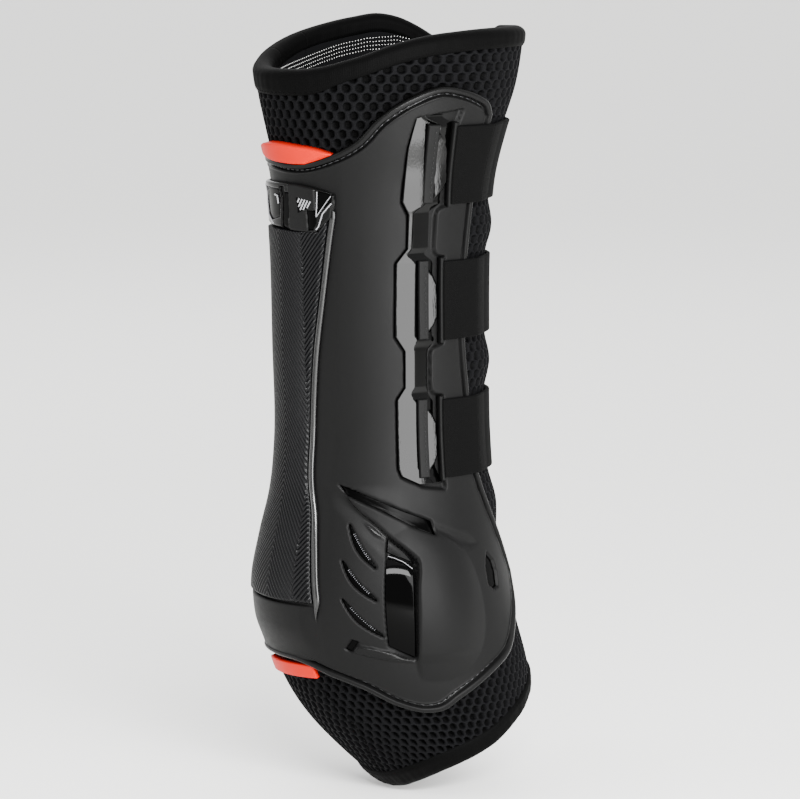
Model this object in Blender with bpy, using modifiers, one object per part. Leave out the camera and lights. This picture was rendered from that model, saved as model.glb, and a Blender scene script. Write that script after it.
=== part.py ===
"""A horse's tendon boot for a near foreleg: shell, padded liner, strike strip, three hook-and-loop straps.

Frame: origin on the leg's axis, level with the middle strap. +X points to the front of the leg, -Y to the
inner side that carries the strap anchors, +Z up the leg. Every curved sheet is laid out flat in (u, z): u is
the angle in degrees round the leg from the tendon line at the back (u = 0) over the inner side (u > 0) to the
front (u = 180), and the outer side has u < 0. It is then bent onto the boot's body surface.
"""

import bmesh
import bpy
import numpy as np
from mathutils import Vector

MM = 0.001

# Sections of the liner's outside from the bottom up: height, back x, front x, centre x, half width (mm)
SECTIONS = np.array(
    [
        (-197, 5, 62, 34, 27),
        (-180, -14, 61.5, 24, 36),
        (-165, -28, 61, 16, 41),
        (-150, -37.5, 60, 10, 43.5),
        (-130, -44, 54.5, 4.5, 44.5),
        (-112, -46, 49, 2, 43.5),
        (-95, -43, 46, 1, 40.5),
        (-78, -39, 43.5, 0.5, 37),
        (-58, -37, 42, 0, 35),
        (-20, -37.5, 41.5, 0, 34),
        (20, -38.5, 42, 0, 34),
        (45, -40.5, 44, 0.5, 35.5),
        (62, -44.5, 48.5, 1, 38.5),
        (78, -48, 54, 2, 41),
        (95, -50, 57, 2, 42.5),
        (112, -51.5, 58.5, 2, 43),
    ],
    float,
)

# Layers, as offsets from the liner's outside (mm)
LINING = (-7.0, -3.2)
MESH = (-2.8, -0.2)
SHELL = (0.4, 2.5)
PATCH = (2.9, 4.5)
BADGE = (0.3, 3.0)
TAG = (0.3, 2.0)
LOOP = (2.85, 3.5)
STRIP = (2.9, 5.0)
STRAP_THICK = 1.5
# Inner face of a strap: (u, offset)
STRAP_RISE = [(100, 3.1), (126, 3.1), (140, 0.8), (188, 0.8), (203, 4.7), (300, 4.7)]
TAPE = (-7.2, 0.5)  # binding round the liner's edges
GAP = 0.35  # between neighbouring solids (mm)

# Where the boot divides (degrees)
SPINE_U = -45  # inner half to outer half, at the living fold
NEAR_FRONT_U = 186
FAR_FRONT_U = -172
BIND_U = 6  # width of the front binding
BIND_TOP = 9.0  # height of the top binding (mm)
BIND_LOW = 8.0

# Rim and lower edge of the liner: (u, z)
RIM_NEAR = [
    (-45, 92), (-27, 86), (-10, 81.5), (8, 81), (30, 85), (50, 90), (68, 94), (89, 98), (112, 100), (186, 99),
]
RIM_FAR = [(-172, 90), (-150, 90), (-137, 92), (-122, 99), (-107, 104), (-94, 102), (-64, 96), (-45, 92)]
HEM = [(0, -195), (26, -194), (70, -184), (108, -174), (134, -165), (155, -158), (186, -153)]

# Shell outlines: (u, z)
NEAR_TOP = [
    (-44, 60), (-20, 57), (2, 54), (26, 52), (40, 54), (56, 60), (67, 69), (80, 76), (95, 80), (110, 77), (124, 70),
]
NEAR_FRONT = [
    (153, -110), (144, -97), (134, -81), (126, -66), (121, -38), (118, -16), (120, 14), (123, 40), (124, 70),
]
NEAR_LOW = [
    (-44, -140), (5, -138), (20, -138.5), (34, -142), (50, -147), (64, -154), (80, -156.5),
    (93, -152), (112, -144), (126, -138), (138, -128), (148, -118), (153, -110),
]
FAR_TOP = [(-124, 64), (-112, 75), (-95, 78), (-80, 75), (-66, 68), (-56, 63), (-46, 60)]
FAR_FRONT = [
    (-164, -112), (-163, -98), (-165, -86), (-159, -73), (-143, -60), (-132, -38), (-128, -10), (-126, 30),
    (-124, 64),
]
FAR_LOW = [
    (-164, -112), (-156, -122), (-140, -134), (-120, -143), (-100, -151), (-82, -155), (-64, -152), (-50, -144),
    (-46, -141),
]

# Straps, from the top: centre height, slot u
STRAP_HEIGHT = 30.0
STRAPS = {"upper": (50.5, 104), "middle": (-1.0, 103), "lower": (-53.5, 102)}
STRAP_BEND_U = 150  # where the free end folds back
STRAP_END_U = 268  # the same place as -92, reached over the front
HINGE_LIFT = 0.25  # of a strap's two hinge lines above its outer face (mm)
HOOK_SPAN = 42
LOOP_SPAN = 62
TAB_SPAN = 12.5
FOLD_AXIS = Vector((-35.5, 35.5, 0))

# Strike strip and its fittings
STRIP_TOP = 24.0
STRIP_LOW = -115.0
CLASP = (24.5, 43.0)
STRIP_EDGE = [(38, 24), (32, -2), (28, -20), (24, -52), (24, -70), (28, -82), (32, -102), (34, -115)]
TRIM_WIDTH = 3.0

SLITS = [((50, -85), (64, -100)), ((48, -98), (62, -114)), ((48, -112), (64, -126))]
SLIT_HALF = 1.6
WINDOW = [(66, -129), (67, -116), (69, -106), (68, -93), (81, -102), (80, -106), (78, -124), (76, -135)]

COLOURS = {
    "shell": ((0.035, 0.035, 0.038), 0.5),
    "gloss": ((0.012, 0.012, 0.014), 0.12),
    "rubber": ((0.03, 0.03, 0.032), 0.55),
    "mesh": ((0.014, 0.014, 0.015), 0.9),
    "lining": ((0.02, 0.02, 0.022), 0.9),
    "tape": ((0.02, 0.02, 0.022), 0.7),
    "elastic": ((0.018, 0.018, 0.02), 0.85),
    "hook": ((0.03, 0.03, 0.032), 0.8),
    "orange": ((0.82, 0.13, 0.04), 0.45),
}


def section(z):
    """Back x, front x, centre x and half width of the liner's outside at the heights z."""
    rows, heights = SECTIONS[:, 1:], SECTIONS[:, 0]
    slopes = np.gradient(rows, heights, axis=0)
    z = np.clip(z, heights[0], heights[-1])
    i = np.clip(np.searchsorted(heights, z) - 1, 0, len(heights) - 2)
    h = (heights[i + 1] - heights[i])[..., None]
    t = (z[..., None] - heights[i][..., None]) / h
    rise = t * t * (3 - 2 * t)
    return (
        rows[i] * (1 - rise)
        + rows[i + 1] * rise
        + h * slopes[i] * t * (1 - t) ** 2
        - h * slopes[i + 1] * t * t * (1 - t)
    )


def body_point(u, z):
    back, front, centre, half = np.moveaxis(section(z), -1, 0)
    turn = np.radians(u)
    depth = np.where(np.cos(turn) > 0, centre - back, front - centre)
    return np.stack([centre - depth * np.cos(turn), -half * np.sin(turn), z], -1)


def on_body(u, z, out):
    """Points (mm) on the body surface, moved `out` mm along its outward normal."""
    u, z = np.broadcast_arrays(np.asarray(u, float), np.asarray(z, float))
    along = body_point(u + 0.5, z) - body_point(u - 0.5, z)
    up = body_point(u, z + 0.5) - body_point(u, z - 0.5)
    normal = np.cross(along, up)
    normal /= np.linalg.norm(normal, axis=-1, keepdims=True)
    return body_point(u, z) + normal * np.asarray(out, float)[..., None]


def curve(points, t):
    """(u, z) at the shares t of a smooth line through the points, spaced by their distance."""
    points = np.asarray(points, float)
    reach = np.concatenate([[0], np.cumsum(np.linalg.norm(np.diff(points * (0.7, 1), axis=0), axis=1))])
    slopes = np.gradient(points, reach, axis=0)
    at = np.asarray(t) * reach[-1]
    i = np.clip(np.searchsorted(reach, at) - 1, 0, len(reach) - 2)
    h = (reach[i + 1] - reach[i])[:, None]
    s = (at[:, None] - reach[i][:, None]) / h
    rise = s * s * (3 - 2 * s)
    return (
        points[i] * (1 - rise)
        + points[i + 1] * rise
        + h * slopes[i] * s * (1 - s) ** 2
        - h * slopes[i + 1] * s * s * (1 - s)
    )


def height(points, u):
    """z of an edge that is given as (u, z) points, at the angles u."""
    points = np.asarray(sorted(points), float)
    return np.interp(u, points[:, 0], points[:, 1])


def between_edges(low, high, left, right, columns, rows):
    """(u, z) of a grid that fills the outline of four edges (a Coons patch)."""
    s = np.linspace(0, 1, columns + 1)
    t = np.linspace(0, 1, rows + 1)
    bottom, top = curve(low, s)[:, None], curve(high, s)[:, None]
    first, last = curve(left, t)[None], curve(right, t)[None]
    s, t = s[:, None, None], t[None, :, None]
    corners = (
        (1 - s) * (1 - t) * bottom[:1]
        + s * (1 - t) * bottom[-1:]
        + (1 - s) * t * top[:1]
        + s * t * top[-1:]
    )
    grid = (1 - t) * bottom + t * top + (1 - s) * first + s * last - corners
    return grid[..., 0], grid[..., 1]


def material(name):
    made = bpy.data.materials.get(name)
    if made is None:
        made = bpy.data.materials.new(name)
        made.use_nodes = True
        surface = made.node_tree.nodes["Principled BSDF"]
        colour, roughness = COLOURS[name]
        surface.inputs["Base Color"].default_value = (*colour, 1)
        surface.inputs["Roughness"].default_value = roughness
    return made


def add_object(name, mesh, group, finish, origin=None):
    """Links the mesh as an object. Its origin goes to `origin` (mm), the axis that a moving piece turns on."""
    obj = bpy.data.objects.new(name, mesh)
    group.objects.link(obj)
    mesh.materials.append(material(finish))
    if origin is not None:
        place = Vector(origin) * MM
        for vertex in mesh.vertices:
            vertex.co -= place
        obj.location = place
    mesh.shade_smooth()
    mesh.set_sharp_from_angle(angle=np.radians(40))
    return obj


def sheet(name, grid, layer, group, finish, origin=None, bevel=0.0):
    """A sheet bent onto the body: the open inner face of a grid in (u, z), thickened outwards."""
    u, z = grid
    columns, rows = u.shape
    inner, outer = layer
    bm = bmesh.new()
    bmesh.ops.create_grid(bm, x_segments=columns - 1, y_segments=rows - 1, size=1)
    bm.verts.ensure_lookup_table()
    spots = on_body(u, z, inner)
    for vertex in bm.verts:
        i = round((vertex.co.x + 1) / 2 * (columns - 1))
        j = round((vertex.co.y + 1) / 2 * (rows - 1))
        vertex.co = Vector(spots[i, j]) * MM
    mesh = bpy.data.meshes.new(name)
    bm.to_mesh(mesh)
    bm.free()
    obj = add_object(name, mesh, group, finish, origin)
    thick = obj.modifiers.new("thickness", "SOLIDIFY")
    thick.thickness = float(np.max(outer - inner)) * MM
    thick.offset = 1
    if bevel:
        round_edges(obj, bevel)
    return obj


def round_edges(obj, width):
    soft = obj.modifiers.new("rounding", "BEVEL")
    soft.width = width * MM
    soft.segments = 1
    soft.limit_method = "ANGLE"
    soft.angle_limit = np.radians(50)


def band_grid(u0, u1, low, high, columns, rows):
    """A grid between two edges z = low(u) and z = high(u)."""
    u = np.linspace(u0, u1, columns + 1)[:, None]
    share = np.linspace(0, 1, rows + 1)[None]
    bottom, top = low(u), high(u)
    return np.broadcast_arrays(u, bottom + (top - bottom) * share)


def line_grid(start, end, half, columns=1):
    """A grid along the line from start to end in (u, z), `half` mm to each side across it."""
    start, end = np.asarray(start, float), np.asarray(end, float)
    u_size = np.array([0.68, 1.0])  # mm per degree and per mm
    along = (end - start) * u_size
    along /= np.linalg.norm(along)
    across = np.array([-along[1], along[0]]) * half / u_size
    t = np.linspace(0, 1, columns + 1)[:, None, None]
    side = np.array([-1, 1])[None, :, None]
    grid = start + (end - start) * t + across * side
    return grid[..., 0], grid[..., 1]


def cut(obj, cutter):
    hole = obj.modifiers.new(cutter.name, "BOOLEAN")
    hole.operation = "DIFFERENCE"
    hole.solver = "EXACT"
    hole.object = cutter


def cutter(name, grid, layer):
    obj = sheet(name, grid, layer, CUTTERS, "shell")
    obj.hide_render = True
    obj.display_type = "WIRE"
    return obj


def collection(name):
    made = bpy.data.collections.new(name)
    bpy.context.scene.collection.children.link(made)
    return made


def rim(u):
    return height(RIM_NEAR + RIM_FAR, u)


def hem(u):
    return height(HEM, np.abs(u))


def tape_low(u):
    """Upper edge of the bottom binding."""
    return hem(u) + BIND_LOW


def tape_high(u):
    """Lower edge of the top binding."""
    return rim(u) - BIND_TOP


def shrink(points, amount):
    """An outline in (u, z) drawn in towards its middle by about `amount` mm; a negative amount grows it."""
    points = np.asarray(points, float)
    middle = points.mean(axis=0)
    away = (points - middle) * (0.7, 1)
    reach = np.linalg.norm(away, axis=1, keepdims=True)
    return [tuple(p) for p in middle + away * (1 - amount / reach) / (0.7, 1)]


def build_liner(side, first, last, columns, group, origin=None):
    """Mesh, lining and edge binding of one half, from the spine (first) to the front (last)."""
    way = 1 if last > first else -1
    start = first + way * 0.25
    front = last - way * BIND_U
    span = sorted((start, front - way * 0.3))
    for name, layer, finish in (("mesh", MESH, "mesh"), ("lining", LINING, "lining")):
        grid = band_grid(*span, tape_low, tape_high, columns, 15)
        sheet(f"{side}_{name}", grid, layer, group, finish, origin)
    full = sorted((start, last))
    top = band_grid(*full, lambda u: tape_high(u) + GAP, rim, columns + 1, 1)
    sheet(f"{side}_top_binding", top, TAPE, group, "tape", origin, bevel=2.4)
    low = band_grid(*full, hem, lambda u: tape_low(u) - GAP, columns + 1, 1)
    sheet(f"{side}_bottom_binding", low, TAPE, group, "tape", origin, bevel=2.4)
    edge = band_grid(*sorted((front, last)), tape_low, tape_high, 1, 15)
    sheet(f"{side}_front_binding", edge, TAPE, group, "tape", origin, bevel=1.6)


def build_near_shell(group):
    left = [NEAR_LOW[0], (-44, -40), NEAR_TOP[0]]
    grid = between_edges(NEAR_LOW, NEAR_TOP, left, NEAR_FRONT, 24, 18)
    shell = sheet("near_shell", grid, SHELL, group, "shell")
    for number, (start, end) in enumerate(SLITS):
        cut(shell, cutter(f"slit_cut_{number}", line_grid(start, end, SLIT_HALF, 2), (-0.1, 4)))
    cut(shell, cutter("window_cut", window_grid(-0.4), (-0.1, 4)))


def window_grid(amount):
    w = shrink(WINDOW, amount)
    low = [w[0], w[7]]
    high = [w[3], w[4]]
    return between_edges(low, high, w[:4], [w[7], w[6], w[5], w[4]], 2, 6)


def build_far_shell(group, origin):
    right = [FAR_LOW[-1], (-46, -40), FAR_TOP[-1]]
    grid = between_edges(FAR_LOW, FAR_TOP, FAR_FRONT, right, 12, 16)
    sheet("far_shell", grid, SHELL, group, "shell", origin)


def edge_u(z):
    """u of the strike strip's inner-side edge at the height z."""
    points = sorted((z, u) for u, z in STRIP_EDGE)
    return np.interp(z, [p[0] for p in points], [p[1] for p in points])


def build_strike_strip(group):
    """The ribbed strip down the tendon, its gloss edges, the clasp over its top and the cap under it."""
    z = np.linspace(STRIP_LOW, STRIP_TOP, 13)[None]
    share = np.linspace(-1, 1, 9)[:, None]
    half = edge_u(z)
    sheet("strike_strip", (share * half, z + 0 * share), STRIP, group, "rubber")
    for name, way in (("near", 1), ("far", -1)):
        u = half + 0.8 + TRIM_WIDTH * np.array([[0], [1]])
        grid = (u if way > 0 else -u[::-1], z + 0 * u)
        sheet(f"{name}_strip_trim", grid, (2.9, 4.3), group, "gloss")
    clasp = band_grid(-42, 42, flat(CLASP[0]), flat(CLASP[1]), 12, 1)
    sheet("strip_clasp", clasp, (2.9, 5.6), group, "gloss", bevel=0.6)
    cap = band_grid(-34, 34, flat(-136), flat(-115.6), 8, 2)
    sheet("heel_cap", cap, (2.9, 4.6), group, "shell", bevel=0.5)


def flat(z):
    return lambda u: z + 0 * u


def build_badges(group):
    low = [(-10, 56.8), (2, 55.0), (14, 53.4), (26, 53.0), (34, 54.0), (43, 56.4)]
    high = [(-10, 58.2), (2, 60.2), (14, 60.8), (26, 60.4), (35, 59.2), (43, 57.2)]
    badge = between_edges(low, high, [low[0], high[0]], [low[-1], high[-1]], 8, 1)
    sheet("top_badge", badge, BADGE, group, "orange")
    tag = band_grid(-14, 30, flat(-147.5), flat(-142.6), 6, 1)
    sheet("lower_tag", tag, TAG, group, "orange")


def build_anchor_plate(group):
    """The gloss inlay that runs beside the straps: a wide field at each strap, a neck between."""
    edge = np.array(
        [
            (76, -66), (75, -38), (80, -33), (79, -20), (74, -13), (76, 13), (81, 18), (82, 31), (78, 37), (80, 56),
            (83, 68),
        ],
        float,
    )
    z = np.interp(np.arange(0, len(edge) - 0.5, 0.5), np.arange(len(edge)), edge[:, 1])
    inner = np.interp(z, edge[:, 1], edge[:, 0])
    outer = np.interp(z, [-66, -33, -16, 14, 36, 68], [88, 89, 90, 90, 91.5, 92.5])
    share = np.linspace(0, 1, 3)[:, None]
    sheet("strap_plate", (inner + (outer - inner) * share, z + 0 * share), PATCH, group, "gloss")


def strap_rise(u):
    points = np.array(STRAP_RISE)
    return np.interp(u, points[:, 0], points[:, 1])


def build_strap(name, centre, slot_u, group):
    """One strap: stitched anchor bar, band to the front, and the free end with its hook pad and pull tab."""
    half = STRAP_HEIGHT / 2
    bar = band_grid(slot_u - 10.6, slot_u - 4.6, flat(centre - half), flat(centre + half), 1, 3)
    sheet(f"{name}_anchor_bar", bar, (2.9, 4.7), group, "shell", bevel=0.4)
    slot = on_body(slot_u, centre, strap_rise(slot_u) + STRAP_THICK + HINGE_LIFT)
    bend = on_body(STRAP_BEND_U, centre, strap_rise(STRAP_BEND_U) + STRAP_THICK + HINGE_LIFT)
    rows = (flat(centre - half), flat(centre + half))
    band = band_grid(slot_u + 0.5, STRAP_BEND_U - 0.8, *rows, 8, 3)
    add_band(f"{name}_strap", band, 0, STRAP_THICK, group, "elastic", slot)
    tail = band_grid(STRAP_BEND_U + 0.8, STRAP_END_U, *rows, 18, 3)
    add_band(f"{name}_strap_end", tail, 0, STRAP_THICK, group, "elastic", bend)
    narrow = (flat(centre - half + 1.5), flat(centre + half - 1.5))
    pad = band_grid(STRAP_END_U - HOOK_SPAN, STRAP_END_U, *narrow, 7, 3)
    add_band(f"{name}_hook_pad", pad, -0.75, 0.45, group, "hook", bend)
    tab = band_grid(STRAP_END_U + 0.6, STRAP_END_U + TAB_SPAN, *narrow, 2, 3)
    add_band(f"{name}_pull_tab", tab, -0.4, 2.0, group, "shell", bend)
    first = STRAP_END_U + TAB_SPAN - LOOP_SPAN - 360
    patch = band_grid(first, first + LOOP_SPAN, flat(centre - half - 1), flat(centre + half + 1), 10, 3)
    sheet(f"{name}_loop_patch", patch, LOOP, group, "hook", FOLD_AXIS)


def add_band(name, grid, lift, thick, group, finish, origin):
    """A sheet that follows the straps' path, `lift` mm off their inner face."""
    inner = strap_rise(grid[0]) + lift
    sheet(name, grid, (inner, inner + thick), group, finish, origin)


def main():
    for obj in list(bpy.data.objects):
        bpy.data.objects.remove(obj)
    group = collection("tendon_boot")
    build_liner("near", SPINE_U, NEAR_FRONT_U, 26, group)
    build_liner("far", SPINE_U, FAR_FRONT_U, 14, group, FOLD_AXIS)
    build_near_shell(group)
    build_far_shell(group, FOLD_AXIS)
    build_strike_strip(group)
    build_badges(group)
    build_anchor_plate(group)
    sheet("vent_window", window_grid(0.0), (0.5, 1.9), group, "gloss")
    for name, (centre, slot_u) in STRAPS.items():
        build_strap(name, centre, slot_u, group)


CUTTERS = collection("cutters")
main()
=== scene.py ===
"""Looks of a horse's tendon boot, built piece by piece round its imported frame. Lengths are in millimetres here."""

import math

import bpy
import numpy as np
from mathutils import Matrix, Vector


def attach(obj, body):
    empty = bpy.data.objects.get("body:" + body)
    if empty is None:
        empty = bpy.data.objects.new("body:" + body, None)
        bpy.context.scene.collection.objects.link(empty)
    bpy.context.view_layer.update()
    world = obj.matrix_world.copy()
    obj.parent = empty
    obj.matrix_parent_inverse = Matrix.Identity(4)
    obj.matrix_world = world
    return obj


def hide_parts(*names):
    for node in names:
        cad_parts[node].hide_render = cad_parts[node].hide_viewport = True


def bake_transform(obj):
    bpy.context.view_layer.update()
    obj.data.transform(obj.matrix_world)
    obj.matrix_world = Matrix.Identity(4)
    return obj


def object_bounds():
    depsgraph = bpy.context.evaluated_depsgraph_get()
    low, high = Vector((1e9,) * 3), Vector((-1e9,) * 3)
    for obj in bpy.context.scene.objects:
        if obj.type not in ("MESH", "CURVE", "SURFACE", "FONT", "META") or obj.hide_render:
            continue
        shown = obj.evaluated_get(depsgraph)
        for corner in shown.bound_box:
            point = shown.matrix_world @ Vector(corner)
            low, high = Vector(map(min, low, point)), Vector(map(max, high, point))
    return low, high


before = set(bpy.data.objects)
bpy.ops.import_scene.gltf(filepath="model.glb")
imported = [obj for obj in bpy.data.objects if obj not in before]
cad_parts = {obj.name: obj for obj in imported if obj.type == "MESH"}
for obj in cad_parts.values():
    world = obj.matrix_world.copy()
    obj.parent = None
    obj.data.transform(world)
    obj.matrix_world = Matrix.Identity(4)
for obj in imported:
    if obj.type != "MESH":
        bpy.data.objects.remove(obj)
frame_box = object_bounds()
MM = 0.001

# ---------------------------------------------------------------- camera, light and floor
# A long lens from the inner side, a little behind the leg and slightly above it. White walls all round, one broad
# soft light on each side and a low panel that the polished pieces mirror.
VIEW_AZIMUTH, VIEW_RISE, VIEW_REACH = math.radians(-25), math.radians(8), 1.5
right = Vector((math.cos(VIEW_AZIMUTH), math.sin(VIEW_AZIMUTH), 0))
back = Vector((right.y * math.cos(VIEW_RISE), -right.x * math.cos(VIEW_RISE), math.sin(VIEW_RISE)))
aim = right * 0.0077 + Vector((0, 0, -0.0427))
camera = bpy.data.objects.new("camera", bpy.data.cameras.new("camera"))
camera.data.lens = 175.3
camera.data.sensor_width = 36
camera.location = aim + back * VIEW_REACH
camera.rotation_euler = back.to_track_quat("Z", "Y").to_euler()
bpy.context.scene.collection.objects.link(camera)
bpy.context.scene.camera = camera


def softbox(name, azimuth, rise, reach, size, power):
    """A soft light turned to the boot, from an azimuth and a rise in degrees; reach and size are in metres."""
    light = bpy.data.lights.new(name, "AREA")
    light.shape = "RECTANGLE"
    light.size, light.size_y = size
    light.energy = power
    obj = bpy.data.objects.new(name, light)
    a, e = math.radians(azimuth), math.radians(rise)
    way = Vector((math.sin(a) * math.cos(e), -math.cos(a) * math.cos(e), math.sin(e)))
    obj.location = aim + way * reach
    obj.rotation_euler = way.to_track_quat("Z", "Y").to_euler()
    obj.visible_camera = False
    bpy.context.scene.collection.objects.link(obj)


softbox("key_softbox", -8, 42, 1.5, (0.9, 0.5), 3.5)
softbox("strip_light", -12, 24, 1.2, (0.6, 0.16), 32)
softbox("mirror_panel", 10, 4, 0.85, (0.42, 0.5), 19)
softbox("rim_softbox", -100, 12, 1.5, (0.4, 1.2), 10)
softbox("back_softbox", 160, 40, 1.8, (1.2, 1.2), 10)


def linear(code):
    """Linear colour of an sRGB hex value."""
    parts = [int(code[k : k + 2], 16) / 255 for k in (1, 3, 5)]
    return tuple(c / 12.92 if c <= 0.04045 else ((c + 0.055) / 1.055) ** 2.4 for c in parts) + (1,)


def add(tree, kind, links=(), inputs=(), **settings):
    """A node with its settings, its input values, and links from (node, output) to its inputs."""
    made = tree.nodes.new(kind)
    for key, value in settings.items():
        setattr(made, key, value)
    for key, value in dict(inputs).items():
        made.inputs[key].default_value = value
    for key, (source, output) in dict(links).items():
        tree.links.new(source.outputs[output], made.inputs[key])
    return made


def surface(name, colour, roughness, **values):
    """A Principled material, its tree and its shader."""
    made = bpy.data.materials.new(name)
    made.use_nodes = True
    shader = made.node_tree.nodes["Principled BSDF"]
    shader.inputs["Base Color"].default_value = linear(colour)
    shader.inputs["Roughness"].default_value = roughness
    for key, value in values.items():
        shader.inputs[key.replace("_", " ")].default_value = value
    return made, made.node_tree, shader


def bump(tree, shader, height, distance, strength=1.0):
    made = add(tree, "ShaderNodeBump", {"Height": height}, {"Distance": distance * MM, "Strength": strength})
    tree.links.new(made.outputs["Normal"], shader.inputs["Normal"])


def new_object(name, points, faces, finish, flat=None):
    """A smooth mesh object from points in mm; `flat` keeps each point's place in mm for its weave or grain."""
    mesh = bpy.data.meshes.new(name)
    mesh.vertices.add(len(points))
    mesh.vertices.foreach_set("co", (points * MM).astype(np.float32).ravel())
    mesh.loops.add(faces.size)
    mesh.loops.foreach_set("vertex_index", faces.astype(np.int32).ravel())
    mesh.polygons.add(len(faces))
    mesh.polygons.foreach_set("loop_start", np.arange(0, faces.size, faces.shape[1], dtype=np.int32))
    mesh.update(calc_edges=True)
    mesh.validate()
    if flat is not None:
        layer = mesh.attributes.new("flat", "FLOAT_VECTOR", "POINT")
        layer.data.foreach_set("vector", flat.astype(np.float32).ravel())
    mesh.shade_smooth()
    obj = bpy.data.objects.new(name, mesh)
    bpy.context.scene.collection.objects.link(obj)
    mesh.materials.append(finish)
    return obj


world = bpy.data.worlds.new("white_room")
bpy.context.scene.world = world
world.use_nodes = True
world.node_tree.nodes["Background"].inputs["Color"].default_value = linear("#ffffff")
world.node_tree.nodes["Background"].inputs["Strength"].default_value = 1.8

FLOOR_DROP, FLOOR_REACH = 1.0, 14000  # below the hem's lowest point, and out to each side
# Matte white backdrop paper: pale and without gloss
paper, paper_tree, paper_shader = surface("white_paper", "#fcfcfa", 0.9)
paper_grain = add(paper_tree, "ShaderNodeTexNoise", inputs={"Scale": 900.0, "Detail": 3.0})
bump(paper_tree, paper_shader, (paper_grain, "Fac"), 0.05, 0.2)
floor_z = frame_box[0].z / MM - FLOOR_DROP
floor_ends = (-FLOOR_REACH, FLOOR_REACH)
floor = new_object(
    "floor",
    np.array([[x, y, floor_z] for x in floor_ends for y in floor_ends], float),
    np.array([[0, 2, 3, 1]]),
    paper,
)

# ---------------------------------------------------------------- padded liner: spacer mesh
# The outside of the liner is a 3-D spacer mesh, knitted polyester with open hexagonal holes over a dark ground, laid
# on foam. It shows above and below the shell and down the front, where the two halves meet.

# Every place is given as (u, z): u in degrees round the leg, from the tendon line at the back over the inner side to
# the front, z up the leg. Each row below is a height z, the back and the front of the boot, the middle of its section
# and half its width.
SECTIONS = np.array(
    [
        (-197, 5, 62, 34, 27),
        (-180, -14, 61.5, 24, 36),
        (-165, -28, 61, 16, 41),
        (-150, -37.5, 60, 10, 43.5),
        (-130, -44, 54.5, 4.5, 44.5),
        (-112, -46, 49, 2, 43.5),
        (-95, -43, 46, 1, 40.5),
        (-78, -39, 43.5, 0.5, 37),
        (-58, -37, 42, 0, 35),
        (-20, -37.5, 41.5, 0, 34),
        (20, -38.5, 42, 0, 34),
        (45, -40.5, 44, 0.5, 35.5),
        (62, -44.5, 48.5, 1, 38.5),
        (78, -48, 54, 2, 41),
        (95, -50, 57, 2, 42.5),
        (112, -51.5, 58.5, 2, 43),
    ],
    float,
)
PER_DEGREE = 0.7  # mm round the boot for a degree of u
SPINE = (-66, -42)  # the stretch that bends when the boot opens
NEAR_FRONT_U, FAR_FRONT_U = 186, -172  # the front edges of the two halves
INNER_LINER_END, OUTER_LINER_END = NEAR_FRONT_U - 5, FAR_FRONT_U + 5  # the liner ends inside the front tapes
FRONT_TAPE = 6  # width of the front edges' tape, in degrees
RIM = [
    (-172, 90), (-150, 90), (-137, 92), (-130, 95.5), (-122, 99.5), (-114, 102.5), (-106, 103.8), (-94, 102.4),
    (-80, 100), (-64, 96.8), (-45, 92.3), (-27, 88.2), (-12, 86.2), (4, 85.6), (18, 85.6), (30, 85.9), (40, 86.9),
    (50, 88.9), (59, 91), (74, 95.4), (89, 98.4), (107, 100), (137, 100.6), (186, 99.6),
]
HEM = [(0, -195), (14, -194.8), (26, -193.8), (48, -189.5), (70, -184), (90, -179), (108, -174), (122, -169),
       (134, -165), (155, -158), (186, -153)]
LOW_TAPE = 8.0  # height of the hem's tape
SHELL_TOP = [
    (-124, 62), (-119, 70), (-110, 75.5), (-95, 78), (-80, 75), (-66, 67), (-54, 60), (-40, 55.5), (-20, 52.8),
    (2, 51.8), (14, 51.2), (26, 51.4), (40, 54), (56, 60), (67, 69), (80, 76), (95, 80), (105, 78.6), (113, 76.4),
    (120, 73.6), (124.5, 69),
]
NEAR_FRONT = [
    (153, -110), (144, -97), (134, -81), (126, -66), (121.5, -38), (118, -16), (119.5, 12), (122.5, 36),
    (125.5, 60), (124.5, 69),
]
SHELL_LOW = [
    (-164, -112), (-156, -122), (-140, -134), (-120, -143), (-100, -151), (-82, -155), (-66, -152), (-50, -144),
    (-30, -139.5), (5, -138), (20, -138.5), (34, -142), (50, -147), (64, -154), (74, -156.6), (82, -156.4),
    (93, -152), (112, -144), (126, -138), (138, -128), (148, -118), (153, -110),
]
FAR_FRONT = [
    (-164, -112), (-163, -98), (-165, -86), (-159, -73), (-143, -60), (-132, -38), (-128, -10), (-126, 30),
    (-124, 62),
]


def hermite(points, slopes, i, t, h):
    rise = t * t * (3 - 2 * t)
    bend = h * (slopes[i] * t * (1 - t) ** 2 - slopes[i + 1] * t * t * (1 - t))
    return points[i] * (1 - rise) + points[i + 1] * rise + bend


def body_point(u, z):
    heights, rows = SECTIONS[:, 0], SECTIONS[:, 1:]
    z = np.clip(z, heights[0], heights[-1])
    i = np.clip(np.searchsorted(heights, z) - 1, 0, len(heights) - 2)
    h = (heights[i + 1] - heights[i])[..., None]
    t = (z - heights[i])[..., None] / h
    back, front, centre, half = np.moveaxis(hermite(rows, np.gradient(rows, heights, axis=0), i, t, h), -1, 0)
    turn = np.radians(u)
    depth = np.where(np.cos(turn) > 0, centre - back, front - centre)
    return np.stack([centre - depth * np.cos(turn), -half * np.sin(turn), z], -1)


def on_body(u, z, out):
    """Points on the boot's body, moved `out` mm along its outward normal."""
    u, z, out = np.broadcast_arrays(np.asarray(u, float), np.asarray(z, float), np.asarray(out, float))
    along = body_point(u + 0.5, z) - body_point(u - 0.5, z)
    up = body_point(u, z + 0.5) - body_point(u, z - 0.5)
    normal = np.cross(along, up)
    normal /= np.linalg.norm(normal, axis=-1, keepdims=True)
    return body_point(u, z) + normal * out[..., None]


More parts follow.
